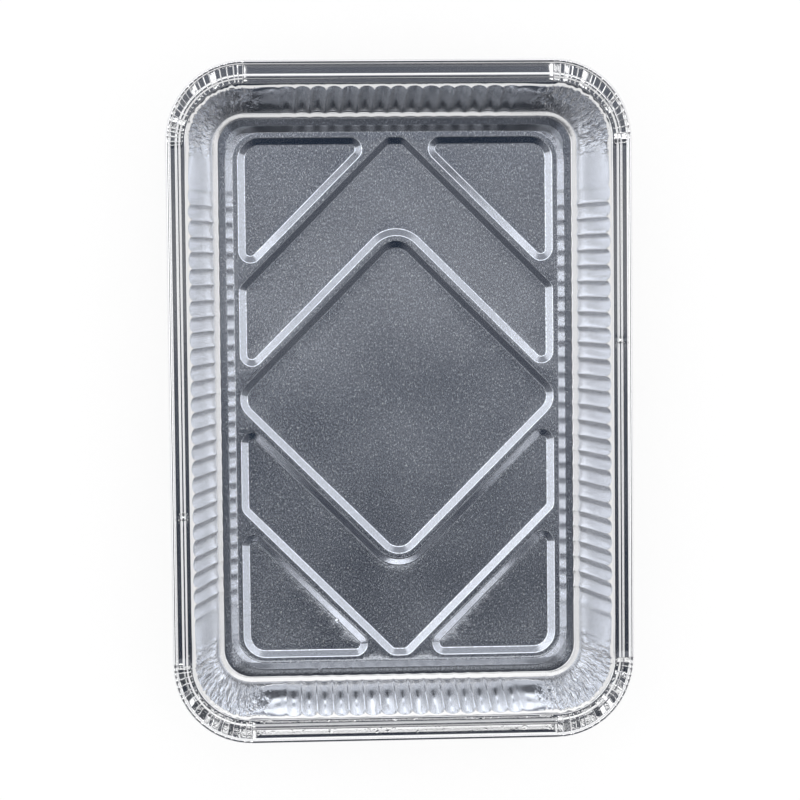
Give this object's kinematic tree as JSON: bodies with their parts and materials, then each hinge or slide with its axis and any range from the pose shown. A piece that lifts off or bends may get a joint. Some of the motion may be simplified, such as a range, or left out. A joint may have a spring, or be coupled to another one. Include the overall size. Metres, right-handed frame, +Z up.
{
  "type": "aluminium foil tray",
  "caption": "Shallow rectangular food tray pressed from thin aluminium foil, with a ribbed floor, fluted walls, gathered corners and a flat rim with a rolled edge.",
  "frame": {"origin": "centre of the underside, on the surface that the tray stands on", "axes": "+Z up out of the open top, +Y along the long side, +X across the short side"},
  "size_m": [0.2178, 0.32, 0.045],
  "materials": {
    "foil": "bare rolled foil, bright and slightly crumpled on the walls and rim, satin on the floor"
  },
  "bodies": {
    "root": {"foil_tray": "foil"}
  },
  "joints": []
}
